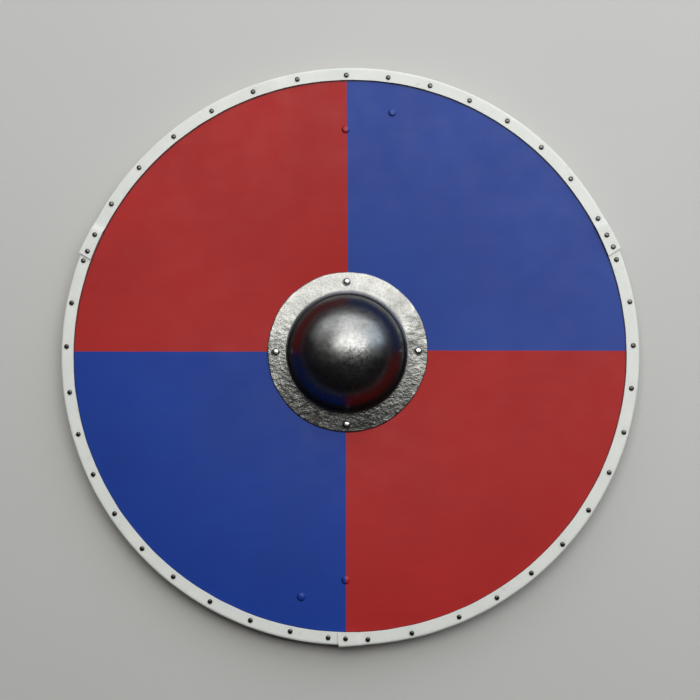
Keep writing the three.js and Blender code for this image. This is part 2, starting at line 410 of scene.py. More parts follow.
paintLook = {
    "red": tint(166, 32, 30),
    "leftBlue": tint(17, 56, 145),
    "rightBlue": tint(40, 67, 147),
    # each line between two colours: how far off the middle it starts, and how it leans
    "upperLine": (1.26 * mm, -0.0062),
    "lowerLine": (-1.55 * mm, 0.0),
    "leftLine": (-0.2 * mm, -0.0042),
    "rightLine": (1.47 * mm, -0.0048),
    "lineBlur": 0.2 * mm,
    "wobbleNoise": (60, 2),
    "handWobble": 0.35 * mm,
    "patchNoise": (9, 4),
    "patchShade": (0.3, 0.7, 0.93, 1.06),
    "strokeNoise": (14, 5, 0.5, (1, 9, 1)),
    "strokeShade": (0.3, 0.7, -0.025, 0.025),
    "strokeRelief": (0.12 * mm, 0.5),
    "grainNoise": (400, 3),
    "grainRelief": (0.05 * mm, 0.4),
    "glossNoise": (30, 4),
    "glossSpread": (-0.05, 0.06),
    "lipRadius": 349.5 * mm,
    # painted shade along the rawhide's lip, wider and darker high on the shield
    "lipShadeWidth": (1.5 * mm, 2.3 * mm),  # low on the shield and high on it
    "lipShadeShare": (0.55, 0.85),
    "lipShadeReach": 200 * mm,
    "lipShadeFade": (0, 0.6),
    "lipShadeTint": tint(14, 12, 20),
    # painted shade: a dark ring round the rivets' feet, slipped to the lower left as a painted
    # shadow, and a dark crescent low on the painted heads
    "onBoard": {
        "shine": 0.22,
        "roughness": 0.5,
        "paintedShade": (5.0 * mm, 6.0 * mm, 0.65, 1.0),
        "shadeSlip": (-0.5 * mm, -0.5 * mm),
    },
    "onRivets": {
        "shine": 0.3,
        "roughness": 0.36,
        "paintedShade": (4.1 * mm, 5.2 * mm, 1.0, 0.4),
        "shadeSlip": (0.8 * mm, 0.8 * mm),
    },
}


def quarteredPaint(name, coat):
    look = paintLook
    m = newFinish(name)
    x, y = axes(m)
    wander = look["handWobble"]
    wobble = timesPlus(m, noise(m, *look["wobbleNoise"]), wander * 2, -wander)
    isTop = calc(m, "GREATER_THAN", y, 0.0)
    isRight = calc(m, "GREATER_THAN", x, 0.0)
    lean = lambda along, line: timesPlus(m, along, line[1], line[0])
    lineX = mixValue(m, isTop, lean(y, look["lowerLine"]), lean(y, look["upperLine"]))
    lineY = mixValue(m, isRight, lean(x, look["leftLine"]), lean(x, look["rightLine"]))
    blur = look["lineBlur"]
    right = remap(m, plus(m, minus(m, x, lineX), wobble), -blur, blur)
    top = remap(m, plus(m, minus(m, y, lineY), wobble), -blur, blur)
    # blue where right and top agree
    agree = calc(m, "ABSOLUTE", minus(m, plus(m, right, top), 1.0))
    blue = mixColour(m, right, look["leftBlue"], look["rightBlue"])
    colour = mixColour(m, agree, look["red"], blue)
    # brushed on by hand: broad soft patches and fine strokes
    patches = remap(m, noise(m, *look["patchNoise"]), *look["patchShade"])
    strokes = noise(m, *look["strokeNoise"])
    colour = shadeBy(m, colour, plus(m, patches, remap(m, strokes, *look["strokeShade"])))
    # painted shade in the corner at the rawhide's lip, wider and darker high on the shield
    height = remap(m, y, -look["lipShadeReach"], look["lipShadeReach"])
    width = mixValue(m, height, *look["lipShadeWidth"])
    inwards = minus(m, look["lipRadius"], radiusOf(m))
    corner = remap(m, minus(m, 1.0, calc(m, "DIVIDE", inwards, width)), *look["lipShadeFade"])
    corner = times(m, corner, mixValue(m, height, *look["lipShadeShare"]))
    colour = mixColour(m, corner, colour, look["lipShadeTint"])
    # painted shade by the painted rivets: a shadow round their feet on the board, and a dark
    # crescent low on their heads
    away = awayFrom(m, paintedRivets, coat["shadeSlip"], boardFront)
    colour = shadeBy(m, colour, remap(m, away, *coat["paintedShade"]))
    bumps = relief(m, strokes, *look["strokeRelief"])
    bumps = relief(m, noise(m, *look["grainNoise"]), *look["grainRelief"], bumps)
    glossier, duller = (coat["roughness"] + spread for spread in look["glossSpread"])
    rough = remap(m, noise(m, *look["glossNoise"]), *noiseSpan, glossier, duller)
    shaderTakes(m, Specular_IOR_Level=coat["shine"])
    return shaderTakes(m, Base_Color=colour, Roughness=rough, Normal=bumps)


woodLook = {
    # the grain is long in the direction that stretch makes slow
    "birch": {
        "pale": tint(206, 172, 124),
        "dark": tint(180, 140, 92),
        "stretch": (1, 9, 9),
        "scale": 30,
    },
    "ash": {
        "pale": tint(178, 134, 84),
        "dark": tint(138, 96, 56),
        "stretch": (10, 1, 10),
        "scale": 26,
    },
    # these scales are times the wood's own
    "figureNoise": (0.35, 3, 0.5),
    "figureShare": (0.35, 0.65),
    "lineNoise": (4, 6, 0.65),
    "lineShade": (0.4, 0.75, 1.05, 0.72),
    "lineRelief": (0.15 * mm, 0.6),
    "poreNoise": (30, 2, 0.5),
    "poreShade": (0.58, 0.75, 1.0, 0.72),
    "poreRelief": (0.1 * mm, 0.4),
    "roughness": (0.3, 0.7, 0.5, 0.66),
}


def bareWood(name, wood):
    look = woodLook
    m = newFinish(name)
    grain = lambda scale, *rest: noise(m, wood["scale"] * scale, *rest, wood["stretch"])
    figure = grain(*look["figureNoise"])
    lines = grain(*look["lineNoise"])
    pores = grain(*look["poreNoise"])
    colour = mixColour(m, remap(m, figure, *look["figureShare"]), wood["pale"], wood["dark"])
    colour = shadeBy(m, colour, remap(m, lines, *look["lineShade"]))
    colour = shadeBy(m, colour, remap(m, pores, *look["poreShade"]))
    bumps = relief(m, lines, *look["lineRelief"])
    bumps = relief(m, pores, *look["poreRelief"], bumps)
    rough = remap(m, lines, *look["roughness"])
    return shaderTakes(m, Base_Color=colour, Roughness=rough, Normal=bumps)


rawhideLook = {
    "pale": tint(230, 231, 224),
    "cool": tint(222, 224, 219),
    "speck": tint(186, 178, 160),
    "mark": tint(170, 164, 148),
    "cloudNoise": (28, 5),
    "cloudShare": (0.3, 0.7),
    "speckNoise": (420, 3),
    "speckShare": (0.62, 0.78, 0, 0.35),
    "speckRelief": (0.06 * mm, 0.5),
    "markNoise": (75, 3),
    "markShare": (0.66, 0.8, 0, 0.3),
    "fibreNoise": (140, 5),
    "fibreRelief": (0.2 * mm, 0.5),
    "roughness": (0.3, 0.7, 0.42, 0.55),
    "shine": 0.25,
}


def driedRawhide(name):
    look = rawhideLook
    m = newFinish(name)
    clouds = noise(m, *look["cloudNoise"])
    specks = noise(m, *look["speckNoise"])
    marks = noise(m, *look["markNoise"])
    colour = mixColour(m, remap(m, clouds, *look["cloudShare"]), look["pale"], look["cool"])
    colour = mixColour(m, remap(m, specks, *look["speckShare"]), colour, look["speck"])
    colour = mixColour(m, remap(m, marks, *look["markShare"]), colour, look["mark"])
    bumps = relief(m, noise(m, *look["fibreNoise"]), *look["fibreRelief"])
    bumps = relief(m, specks, *look["speckRelief"], bumps)
    rough = remap(m, clouds, *look["roughness"])
    shaderTakes(m, Specular_IOR_Level=look["shine"])
    return shaderTakes(m, Base_Color=colour, Roughness=rough, Normal=bumps)


# Burnished on the dome, darker round its sides, with painted shade on its lower part, and hammered
# on the flange, which has painted light on its left and painted shadow round its rivets.
steelLook = {
    "domeEnds": 76 * mm,
    "flangeStarts": 79 * mm,
    "scratchNoise": (150, 7, 0.7),
    "scratchRelief": (0.03 * mm, 0.35),
    "smearNoise": (34, 5, 0.6),
    "domePale": tint(164, 164, 162),
    # painted shade: the lower part of the dome made darker
    "shadeBelow": (-2 * mm, -22 * mm, 1.0, 0.5),
    "domeSide": tint(92, 93, 96),
    "sideReach": (36.5 * mm, 53 * mm),
    "sideSlip": (-0.09, -0.04),  # the dark side reaches further in at the lower left
    "smearShade": (0.3, 0.7, 1.15, 0.75),
    "stain": tint(50, 51, 54),
    "stainPlace": (15 * mm, -14 * mm, 100 * mm),
    "stainReach": (10 * mm, 26 * mm, 0.95, 0.25),
    "stainNoise": (230, 8, 0.75),
    "stainShare": (0.44, 0.62),
    "domeRough": (0.8, 1.25, 0.27, 0.42),
    "flangePale": tint(132, 132, 129),
    "flangeDark": tint(70, 69, 68),
    "smoothAbove": 60 * mm,  # the upper part of the flange is smoother
    "roughBelow": -15 * mm,
    "smoothLeft": -0.6,  # and its upper left the palest
    # painted light: the flange made paler towards its left
    "leftPaintedLight": (-50 * mm, -92 * mm, 1.0, 1.65),
    "dentNoise": (60, 4, 0.6),
    "dentShade": (0.35, 0.7, 1.08, 0.8),
    "deepDentShade": (0.35, 0.65, 1.2, 0.42),
    "pitNoise": (380, 4, 0.65),
    "pitShare": (0.55, 0.75),
    "pitStrength": (0.35, 0.8),  # where it is smooth and where it is rough
    "pitRelief": (0.05 * mm, 0.6),
    "blowNoise": (210, 4, 0.5, (1, 1.3, 1)),
    "blowRelief": (0.2 * mm, 0.7),
    "reliefShare": (0.4, 4),
    # short marks that run outwards, in some places only
    "markNoise": (330, 3),
    "markLength": 0.2,
    "markShare": (0.5, 0.62, 0, 1),
    "markRelief": (0.12 * mm, 0.6),
    "markStrength": 0.7,
    "wornNoise": (22, 2),
    "wornShare": (0.48, 0.62),
    "wornBelow": (0, 0.5),
    "flangeRough": (0.35, 0.7, 0.24, 0.36),
    # painted shade round the boss rivets: a shadow on the flange and a crescent low on their heads,
    # both slipped to the lower left
    "paintedShade": tint(26, 26, 27),
    "rivetShadow": (4.9 * mm, 6.0 * mm, 0.75, 0),
    "rivetShadowSlip": (-0.5 * mm, -0.6 * mm),
    "rivetShadowHeight": 2 * mm,
}


def domeColour(m, x, y, radius, smears):
    look = steelLook
    slipX, slipY = look["sideSlip"]
    side = timesPlus(m, x, slipX, timesPlus(m, y, slipY, radius))
    # painted shade on the lower part of the dome
    top = shadeBy(m, look["domePale"], remap(m, y, *look["shadeBelow"]))
    colour = mixColour(m, remap(m, side, *look["sideReach"]), top, look["domeSide"])
    colour = shadeBy(m, colour, remap(m, smears, *look["smearShade"]))
    stained = remap(m, distanceTo(m, look["stainPlace"]), *look["stainReach"])
    stains = remap(m, noise(m, *look["stainNoise"]), *look["stainShare"])
    return mixColour(m, times(m, stains, stained), colour, look["stain"])


def flangeColour(m, x, y, rough, pits, streaks):
    look = steelLook
    upperLeft = timesPlus(m, x, look["smoothLeft"], y)
    dull = remap(m, upperLeft, look["smoothAbove"], look["roughBelow"])
    dents = noise(m, *look["dentNoise"])
    lightDents, deepDents = (remap(m, dents, *look[key]) for key in ("dentShade", "deepDentShade"))
    dented = mixValue(m, dull, lightDents, deepDents)
    # painted light: the flange paler towards its left
    colour = shadeBy(m, look["flangePale"], times(m, dented, remap(m, x, *look["leftPaintedLight"])))
    pitted = times(m, remap(m, pits, *look["pitShare"]), mixValue(m, rough, *look["pitStrength"]))
    colour = mixColour(m, pitted, colour, look["flangeDark"])
    colour = mixColour(m, streaks, colour, look["flangeDark"])
    # painted shadow round the boss rivets' feet, slipped to the lower left
    away = awayFrom(m, bossRivets, look["rivetShadowSlip"], bossLow.z + look["rivetShadowHeight"])
    return mixColour(m, remap(m, away, *look["rivetShadow"]), colour, look["paintedShade"])


def forgedSteel(name):
    look = steelLook
    m = newFinish(name)
    x, y = axes(m)
    radius = radiusOf(m)
    isFlange = remap(m, radius, look["domeEnds"], look["flangeStarts"])
    rough = remap(m, y, look["smoothAbove"], look["roughBelow"])
    scratches = noise(m, *look["scratchNoise"])
    smears = noise(m, *look["smearNoise"])
    pits = noise(m, *look["pitNoise"])
    turn = times(m, calc(m, "ARCTAN2", y, x), flangeRadius)
    inputs = {0: turn, 1: times(m, radius, look["markLength"]), 2: 0.0}
    alongMark = addNode(m, "ShaderNodeCombineXYZ", inputs).outputs[0]
    marks = remap(m, noiseAt(m, alongMark, *look["markNoise"]), *look["markShare"])
    worn = remap(m, noise(m, *look["wornNoise"]), *look["wornShare"])
    worn = times(m, worn, remap(m, rough, *look["wornBelow"]))
    streaks = times(m, marks, times(m, worn, look["markStrength"]))
    dome = domeColour(m, x, y, radius, smears)
    flange = flangeColour(m, x, y, rough, pits, streaks)
    domeRough = remap(m, plus(m, scratches, smears), *look["domeRough"])
    flangeRough = remap(m, pits, *look["flangeRough"])
    deep = times(m, isFlange, mixValue(m, rough, *look["reliefShare"]))
    blows = noise(m, *look["blowNoise"])
    bumps = relief(m, scratches, *look["scratchRelief"])
    bumps = relief(m, times(m, pits, deep), *look["pitRelief"], bumps)
    bumps = relief(m, times(m, blows, deep), *look["blowRelief"], bumps)
    bumps = relief(m, times(m, streaks, isFlange), *look["markRelief"], bumps)
    return shaderTakes(
        m,
        Metallic=1.0,
        Base_Color=mixColour(m, isFlange, dome, flange),
        Roughness=mixValue(m, isFlange, domeRough, flangeRough),
        Normal=bumps,
    )


metalLook = {
    "markNoise": (500, 4),
    "markShare": (0.35, 0.7),
    "markRelief": (0.08 * mm, 0.5),
    "glossSpread": (-0.06, 0.1),
    # painted shade: a dark crescent low on the rivet heads, slipped to the lower left
    "headShade": (3.3 * mm, 4.4 * mm, 0, 0.85),
    "shadeSlip": (0.7 * mm, 0.7 * mm),
    "shadeHeight": 3 * mm,
}


def plainMetal(name, pale, dark, roughness, shadedHeads=()):
    # the rivets named here get painted shade, a dark crescent low on their heads
    look = metalLook
    m = newFinish(name)
    marks = noise(m, *look["markNoise"])
    colour = mixColour(m, remap(m, marks, *look["markShare"]), pale, dark)
    if shadedHeads:
        # painted shade low on these rivets' heads
        away = awayFrom(m, shadedHeads, look["shadeSlip"], bossLow.z + look["shadeHeight"])
        colour = mixColour(m, remap(m, away, *look["headShade"]), colour, steelLook["paintedShade"])
    glossier, duller = (roughness + spread for spread in look["glossSpread"])
    rough = remap(m, marks, *noiseSpan, glossier, duller)
    bumps = relief(m, marks, *look["markRelief"])
    return shaderTakes(m, Metallic=1.0, Base_Color=colour, Roughness=rough, Normal=bumps)


paint = quarteredPaint("quartered paint", paintLook["onBoard"])
rivetPaint = quarteredPaint("paint on rivets", paintLook["onRivets"])
birch = bareWood("birch back", woodLook["birch"])
ash = bareWood("ash bar", woodLook["ash"])
rawhide = driedRawhide("dried rawhide")
steel = forgedSteel("forged steel")
brightSteel = (tint(232, 232, 228), tint(196, 196, 194), 0.26)
rivetSteel = plainMetal("bright rivet steel", *brightSteel, bossRivets)
tailSteel = plainMetal("rivet tails", tint(150, 148, 144), tint(104, 100, 96), 0.4)
blackIron = plainMetal("blackened iron", tint(98, 97, 94), tint(52, 51, 50), 0.25)
print("materials made")


# Board.

boardShape = {
    "sides": 256,
    "holeRound": 1.2 * mm,
    "holeSegments": 3,
    "paintEdge": 0.1 * mm,
}


def makeBoard():
    shape = boardShape
    leaveAll()
    bpy.ops.mesh.primitive_cylinder_add(
        vertices=shape["sides"],
        radius=boardRadius,
        depth=boardFront - boardBack,
        location=(0, 0, boardMiddle),
    )
    settle()
    edit()
    # the hole for the hand, with its two mouths rounded
    pick("FACE", lambda f: abs(f.normal.z) > 0.9)
    bpy.ops.mesh.inset(thickness=boardRadius - handHole, use_individual=True)
    bpy.ops.mesh.bridge_edge_loops()
    middle = (boardRadius + handHole) / 2
    isLevel = lambda e: abs(e.verts[0].co.z - e.verts[1].co.z) < hair
    pick("EDGE", lambda e: isLevel(e) and all(reach(v.co) < middle for v in e.verts))
    bpy.ops.mesh.bevel(offset=shape["holeRound"], segments=shape["holeSegments"])
    done()
    piece = nameIt("painted-board")
    smoothBy(30)
    piece.data.materials.append(birch)
    limit = boardFront - shape["paintEdge"]
    giveSecondFinish(paint, lambda f: f.calc_center_median().z > limit and f.normal.z > 0.5)
    handOver(piece, "board")


makeBoard()
print("board made")


# Rawhide strips, folded over the edge of the board.

stripShape = {
    "wall": 2.1 * mm,
    "stepDegrees": 0.4,
    "spareDegrees": 2.0,
    "sideCuts": 4,
    "cornerRound": 3.2 * mm,
    "cornerSegments": 4,
    "keepInside": 0.1 * mm,
    "flatWithin": 20,  # in degrees off its middle
    "lipDepth": 3 * mm,
    "lipEdge": 1 * mm,
    # over the end of another strip
    "lapGap": 0.3 * mm,
    "lapRise": 1.2,
    "lapRiseParts": 6,
    "lapSpread": 3.0,
    "lapSpreadParts": 14,
    "lapSpreadPower": 1.2,
    "lapOut": 2.5 * mm,
    # under the end of another strip
    "pared": 1.8 * mm,
    "paredShare": 0.15,
    "paredFrom": 0.4,
    "lipWave": 0.0010,
    "lipWaveEvery": 6.5,
    "lipWaveWidth": 0.3,
    "lipWaveReach": 18 * mm,
    "dimple": 0.5 * mm,
    "dimpleFlat": 1.6 * mm,
    "dimpleReach": 7 * mm,
    "buckle": 0.35 * mm,
    "buckleSize": 20 * mm,
    "grain": 0.12 * mm,
    "grainSize": 3 * mm,
    "edgeRound": 0.45 * mm,
}


def stripFacts(node):
    # in degrees its middle and its ends, outside and at the lip; in metres its radii and heights
    # where it lies flat, a little inside the CAD solid
    shape = stripShape
    points = nodePoints(node)
    around = bearing(sum(points, Vector()))
    at = lambda p: unwrapped(bearing(p), around)
    flat = [p for p in points if abs(at(p) - around) < shape["flatWithin"]]
    outer, lip = max(reach(p) for p in flat), min(reach(p) for p in flat)
    low, high = min(p.z for p in flat), max(p.z for p in flat)
    outside = [at(p) for p in points if reach(p) > outer - near]
    inside = [at(p) for p in points if reach(p) < lip + shape["lipDepth"]]
    return {
        "around": around,
        "start": min(outside),
        "end": max(outside),
        "lipStart": min(inside),
        "lipEnd": max(inside),
        "outer": outer - shape["keepInside"],
        "lip": lip,
        "low": low + shape["keepInside"],
        "high": high - shape["keepInside"],
        "middle": (low + high) / 2,
    }


strips = {node: stripFacts(node) for node in ("rim-top", "rim-left", "rim-right")}


def sweepStrip(facts, first, last):
    # the outline of a folded strip, open towards the middle of the shield, swept round the edge
    shape = stripShape
    outer, lip, thin = facts["outer"], facts["lip"], 1 * mm
    addBlock((lip, 0, facts["low"]), (outer, thin, facts["high"]))
    edit()
    pick("VERT", lambda v: v.co.y > thin / 2)
    bpy.ops.mesh.delete(type="VERT")
    pickAll()
    bpy.ops.mesh.delete(type="ONLY_FACE")
    pick("EDGE", lambda e: all(v.co.x < lip + near for v in e.verts))
    bpy.ops.mesh.delete(type="EDGE")
    pick("VERT", lambda v: v.co.x > outer - near)
    corners = {"offset": shape["cornerRound"], "segments": shape["cornerSegments"]}
    bpy.ops.mesh.bevel(affect="VERTICES", **corners)
    # the straight sides, not the rounding between them
    pick("EDGE", lambda e: e.calc_length() > shape["cornerRound"])
    bpy.ops.mesh.subdivide(number_cuts=shape["sideCuts"])
    pickAll()
    turn = -math.radians(first)
    bpy.ops.transform.rotate(value=turn, orient_axis="Z", center_override=(0, 0, 0))
    bpy.ops.mesh.spin(
        steps=round((last - first) / shape["stepDegrees"]),
        angle=-math.radians(last - first),
        center=(0, 0, 0),
        axis=(0, 0, 1),
    )
    pickAll()
    bpy.ops.mesh.remove_doubles(threshold=0.001 * mm)


def lapOver(facts, at, lap, tip, sign):
    # it steps up over the end of the strip below, and leaves the edge of the board little by little
    shape = stripShape
    outer, lip = facts["outer"], facts["lip"]
    about = (0, 0, facts["middle"])
    height = facts["high"] - facts["low"]
    parts = shape["lapRiseParts"]
    share = ((height + 2 * shape["wall"] + shape["lapGap"]) / height) ** (1 / parts)
    for i in range(parts):
        edge = lap - sign * shape["lapRise"] * (1 - (i + 0.5) / parts)
        pick("VERT", lambda v: (at(v) - edge) * sign > 0)
        bpy.ops.transform.resize(value=(1, 1, share), center_override=about)
    parts = shape["lapSpreadParts"]
    share = ((outer + shape["lapOut"]) / outer) ** (1 / parts)
    begin = lap - sign * shape["lapSpread"]
    for i in range(parts):
        edge = begin + (tip - begin) * ((i + 0.5) / parts) ** (1 / shape["lapSpreadPower"])
        # the lip stays where it is, so that it covers the lip below
        pick("VERT", lambda v: (at(v) - edge) * sign > 0 and reach(v.co) > lip + shape["lipEdge"])
        widen(share, about)


def pareUnder(facts, at, cover, sign):
    # under another strip its edge is pared thin
    shape = stripShape
    outer = facts["outer"]
    edge = cover + sign * shape["paredFrom"]
    limit = outer - shape["cornerRound"] - near
    share = (outer - shape["pared"]) / outer
    pick("VERT", lambda v: (at(v) - edge) * sign > 0 and reach(v.co) > limit)
    widen(share, (0, 0, facts["middle"]))


def cutEnd(facts, outside, inside, sign):
    # cut off at a slant, as with shears, from a bearing at the outside to one at the lip
    turn = lambda degrees: Matrix.Rotation(math.radians(degrees), 3, "Z")
    corner = turn(outside) @ Vector((facts["outer"], 0, 0))
    lipCorner = turn(inside) @ Vector((facts["lip"], 0, 0))
    along = (corner - lipCorner).normalized() * sign
    pickAll()
    bpy.ops.mesh.bisect(plane_co=corner, plane_no=(-along.y, along.x, 0), clear_inner=True)


def waveLip(node, at, first, last):
    # the lip was cut by hand and wanders a little
    shape, facts = stripShape, strips[node]
    lipEnds = facts["lip"] + shape["lipEdge"]
    step = shape["lipWaveEvery"]
    rng = random.Random(node)
    for i in range(int((last - first) / step)):
        spot = first + somewhereIn(i, step, rng)
        share = 1 + rng.uniform(-shape["lipWave"], shape["lipWave"])
        isNear = lambda v: abs(at(v) - spot) < shape["lipWaveWidth"]
        if pick("VERT", lambda v: isNear(v) and reach(v.co) < lipEnds):
            widen(share, (0, 0, facts["middle"]), **softly(shape["lipWaveReach"]))


def drawDown(facts):
    # each tack draws the rawhide down a little
    shape = stripShape
    for tack in tackNodes:
        spot = tackPlace(tack)
        isNear = lambda v: math.hypot(v.co.x - spot.x, v.co.y - spot.y) < shape["dimpleFlat"]
        if pick("VERT", lambda v: v.co.z > facts["middle"] and isNear(v)):
            bpy.ops.transform.translate(
                value=(0, 0, -shape["dimple"]),
                use_proportional_connected=True,
                **softly(shape["dimpleReach"]),
            )


def makeStrip(node, overStart, overEnd, underStart, underEnd):
    # the last four say where the strips under its two ends and over them stop, in degrees, or None
    facts, shape = strips[node], stripShape
    at = lambda v: unwrapped(bearing(v.co), facts["around"])
    first, last = facts["start"] - shape["spareDegrees"], facts["end"] + shape["spareDegrees"]
    sweepStrip(facts, first, last)
    for over, tip, sign in ((overStart, facts["start"], -1), (overEnd, facts["end"], 1)):
        if over is not None:
            lapOver(facts, at, over, tip, sign)
    for under, sign in ((underStart, -1), (underEnd, 1)):
        if under is not None:
            pareUnder(facts, at, under, sign)
    cutEnd(facts, facts["start"], facts["lipStart"], 1)
    cutEnd(facts, facts["end"], facts["lipEnd"], -1)
    tidyNormals()
    if not pick("FACE", lambda f: f.normal.z > 0.99 and f.calc_center_median().z > facts["middle"]):
        pickAll()
        bpy.ops.mesh.flip_normals()
    waveLip(node, at, first, last)
    drawDown(facts)
    # all but the pared part keeps the full thickness
    limit = facts["outer"] - shape["pared"] - shape["cornerRound"] - near
    starts = underStart - shape["paredFrom"] if underStart is not None else -math.inf
    ends = underEnd + shape["paredFrom"] if underEnd is not None else math.inf
    pick("VERT", lambda v: starts < at(v) < ends or reach(v.co) < limit)
    groupPicked("full thickness")
    done()
    piece = nameIt(node.replace("rim", "rawhide"))
    pressIn(cloudy("buckles", shape["buckleSize"]), shape["buckle"])
    pressIn(cloudy("grain", shape["grainSize"]), shape["grain"])
    applyNew(
        "SOLIDIFY",
        thickness=shape["wall"],
        offset=-1.0,
        vertex_group="full thickness",
        thickness_vertex_group=shape["paredShare"],
    )
    roundEdges(shape["edgeRound"])
    applyNew("SUBSURF", levels=1, render_levels=1)
    bpy.ops.object.shade_smooth()
    piece.data.materials.append(rawhide)
    handOver(piece, node)


topStart, topEnd = strips["rim-top"]["start"], strips["rim-top"]["end"]
leftStart, leftEnd = strips["rim-left"]["start"], strips["rim-left"]["end"]
rightStart, rightEnd = strips["rim-right"]["start"], strips["rim-right"]["end"]
makeStrip("rim-left", None, None, topEnd, rightStart)
makeStrip("rim-right", leftEnd, None, None, topStart + 360)
makeStrip("rim-top", rightEnd - 360, leftStart, None, None)
print("rawhide strips made")


# Boss, raised from one sheet.

bossShape = {
    "sides": 384,
    "domeRings": 120,
    "domeRadius": 72.6 * mm,
    "bend": 6.2 * mm,
    "bendSteps": 6,
    "flangeSteps": 16,
    "flangeRise": 1.6 * mm,
    # raised by hand, so the dome stands a little low and its top leans
    "domeShift": -1.5 * mm,
    "shiftReach": 20 * mm,
    "topLean": -2.4 * mm,
    # cut out with shears, so the outline wanders a little
    "outlineWaves": 24,
    "outlineWave": (-0.006, 0.0024),
    "outlineWaveWidth": 2,
    "outlineEdge": 0.98,
    "outlineWaveReach": 16 * mm,
    "sheet": 2 * mm,
    "edgeRound": 0.8 * mm,
    "unevenDome": 0.15 * mm,
    "unevenSize": 26 * mm,
    "hammerMarks": 0.18 * mm,
    "hammerSize": 11 * mm,
    "pitDepth": 0.08 * mm,
    "pitSize": 3 * mm,
}


def makeBoss():
    shape = bossShape
    flangeTop = bossLow.z + shape["sheet"]
    foot = flangeTop + shape["flangeRise"]
    dome, bend = shape["domeRadius"], shape["bend"]
    tangent = math.asin(bend / (dome + bend))
    bendReach = math.sqrt((dome + bend) ** 2 - bend ** 2)
    cut = foot + dome * math.sin(tangent)
    leaveAll()
    bpy.ops.mesh.primitive_uv_sphere_add(
        segments=shape["sides"], ring_count=shape["domeRings"], radius=dome, location=(0, 0, foot)
    )
    settle()
    edit()
    pickAll()
    bpy.ops.mesh.bisect(plane_co=(0, 0, cut), plane_no=(0, 0, 1), clear_inner=True)
    pickAll()
    squash = (bossHigh.z - cut) / (foot + dome - cut)
    bpy.ops.transform.resize(value=(1, 1, squash), center_override=(0, 0, cut))
    # the bend, then the flange, which slopes a little
    rings = [(dome * math.cos(tangent), cut)]
    for i in range(1, shape["bendSteps"] + 1):
        turn = -math.pi / 2 - (math.pi / 2 - tangent) * (1 - i / shape["bendSteps"])
        rings.append((bendReach + bend * math.cos(turn), foot + bend + bend * math.sin(turn)))
    for i in range(1, shape["flangeSteps"] + 1):
        share = i / shape["flangeSteps"]
        radius = bendReach + (flangeRadius - bendReach) * share
        rings.append((radius, foot + (flangeTop - foot) * share))
    pick("EDGE", lambda e: e.is_boundary)
    extrudeRings(rings)
    pick("VERT", lambda v: reach(v.co) < bendReach + near)
    bpy.ops.transform.translate(value=(0, shape["domeShift"], 0), **softly(shape["shiftReach"]))
    pick("VERT", lambda v: v.co.z > bossHigh.z - 1 * mm)
    bpy.ops.transform.translate(value=(0, shape["topLean"], 0), **softly(dome))
    waveOutline(flangeTop)
    tidyNormals()
    done()
    piece = nameIt("steel-boss")
    applyNew("SOLIDIFY", thickness=shape["sheet"], offset=-1.0)
    roundEdges(shape["edgeRound"])
    edit()
    pick("VERT", lambda v: reach(v.co) > bendReach - 1 * mm and v.co.z > flangeTop - 0.3 * mm)
    groupPicked("flange face")
    pick("VERT", lambda v: v.co.z > foot + bend)
    groupPicked("dome")
    done()
    face = {"direction": "Z", "vertex_group": "flange face"}
    pressIn(cells("hammer marks", shape["hammerSize"]), shape["hammerMarks"], **face)
    pressIn(cloudy("pits", shape["pitSize"], 3), shape["pitDepth"], **face)
    pressIn(cloudy("raising", shape["unevenSize"]), shape["unevenDome"], vertex_group="dome")
    smoothBy(40)
    piece.data.materials.append(steel)
    handOver(piece, "boss")


def waveOutline(flangeTop):
    shape = bossShape
    step = 360 / shape["outlineWaves"]
    edge = flangeRadius * shape["outlineEdge"]
    rng = random.Random(5)
    for i in range(shape["outlineWaves"]):
        spot = somewhereIn(i, step, rng)
        share = 1 + rng.uniform(*shape["outlineWave"])
        off = lambda v: abs(unwrapped(bearing(v.co), spot) - spot)
        pick("VERT", lambda v: off(v) < shape["outlineWaveWidth"] and reach(v.co) > edge)
        widen(share, (0, 0, flangeTop), **softly(shape["outlineWaveReach"]))


makeBoss()
print("boss made")


# Rivets. Their places and ends come from the frame. A profile is pairs of (across, up).

rivetShapes = {
    "boss": {"head": 4.8 * mm, "headHeight": 2.4 * mm, "rove": 7 * mm},
    "board": {"head": 5.2 * mm, "headHeight": 1.6 * mm, "rove": 8 * mm},
    "profile": (
        (1.0, 0.0), (0.9, 0.28), (0.76, 0.62), (0.64, 0.82), (0.46, 0.95), (0.25, 0.99), (0.08, 1.0)
    ),
    "shank": 2.5 * mm,
    "tail": 4.6 * mm,
    "tailHeight": 1.7 * mm,
    "tailSteps": 4,
    "tailTurn": 86,  # in degrees, just short of its end
    "roveThickness": 1.2 * mm,
    "sides": 40,
    "neck": 0.98,
    "sunk": 0.5 * mm,
    "dents": 0.16 * mm,
    "dentSize": 3 * mm,
}


def tailRings(seat, low):
    # a dome upside down, from its end up to its seat
    size = rivetShapes
    rings = []
    for i in range(size["tailSteps"], -1, -1):
        turn = math.radians(size["tailTurn"]) * i / size["tailSteps"]
        rings.append((size["tail"] * math.cos(turn), seat - (seat - low) * math.sin(turn)))
    return rings


